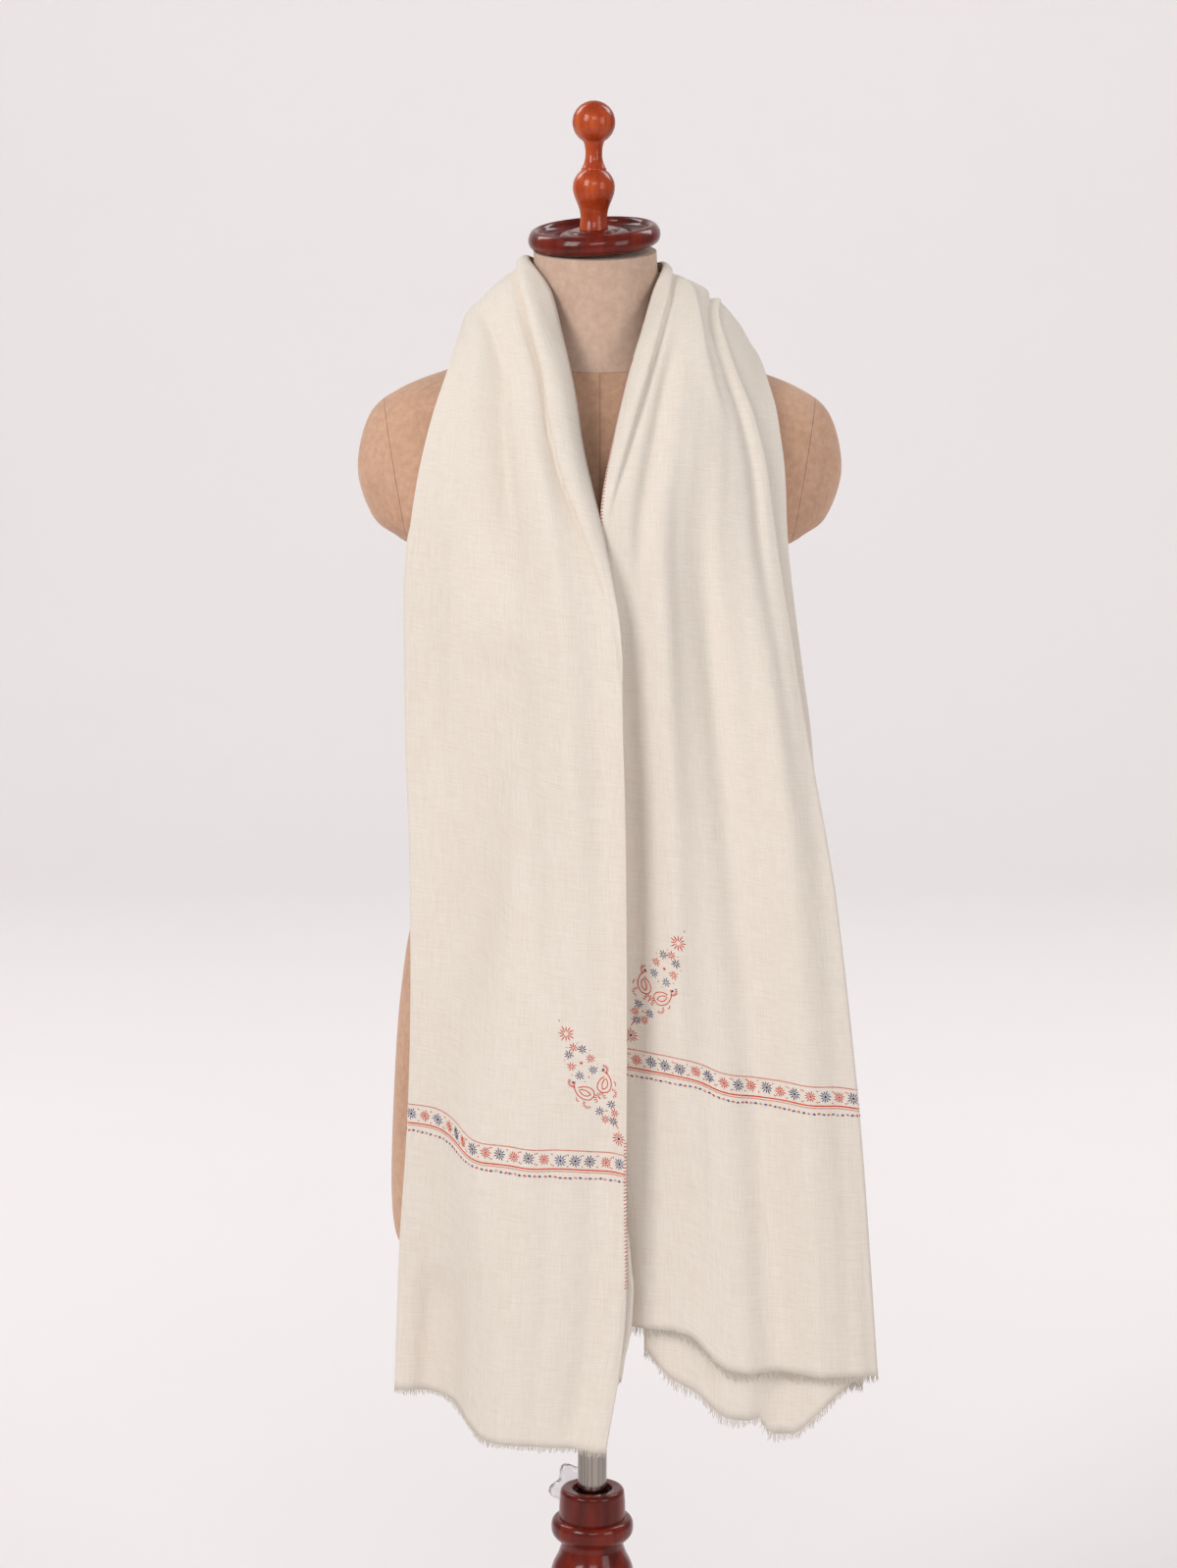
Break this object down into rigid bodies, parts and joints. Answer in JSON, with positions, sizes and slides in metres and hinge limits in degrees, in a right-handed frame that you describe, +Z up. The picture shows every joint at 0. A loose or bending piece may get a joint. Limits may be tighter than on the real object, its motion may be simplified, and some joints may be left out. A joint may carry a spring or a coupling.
{
  "type": "pashmina shawl draped on a dress form with its stand",
  "caption": "Fine embroidered shawl hung round the neck of a limbless dress form, which turns and slides on the steel pole of a turned wooden stand.",
  "frame": {"origin": "centre of the underside of the stand's base, on the axis of the pole", "axes": "+Z up along the pole; the front of the dress form faces -Y; +X is to the viewer's right from the front"},
  "size_m": [0.4342, 0.36, 1.6025],
  "materials": {
    "pashmina": "fine twill-soft wool, matt",
    "fringe": "loose warp ends",
    "form_cover": "beige suedecloth",
    "red_wood": "red stain, gloss lacquer",
    "dark_wood": "dark red stain, gloss lacquer",
    "steel": "polished tube",
    "dark_steel": "dull",
    "clear_plastic": "clear"
  },
  "bodies": {
    "stand": {"stand_base": "dark_wood", "stand_post": "dark_wood", "pole_bush": "dark_steel"},
    "lock": {"lock_knob": "clear_plastic", "lock_screw": "steel"},
    "pole": {"pole": "steel"},
    "form": {"form_torso": "form_cover", "form_arm_cap_left": "form_cover", "form_arm_cap_right": "form_cover", "form_neck": "form_cover", "neck_cap": "dark_wood", "finial": "red_wood", "shawl_left_panel": "pashmina", "shawl_neck": "pashmina", "shawl_right_panel": "pashmina", "shawl_left_fringe": "fringe", "shawl_right_fringe": "fringe"}
  },
  "joints": [
    {"name": "height", "type": "slide", "parent": "stand", "child": "pole", "axis": [0, 0, 1], "range_m": [-0.14, 0.12]},
    {"name": "swivel", "type": "hinge", "parent": "pole", "child": "form", "pos_m": [0, 0, 0.7], "axis": [0, 0, 1], "continuous": true},
    {"name": "lock_turn", "type": "hinge", "parent": "stand", "child": "lock", "pos_m": [0, 0, 0.389], "axis": [-0.2588, 0.9659, 0], "continuous": true}
  ]
}
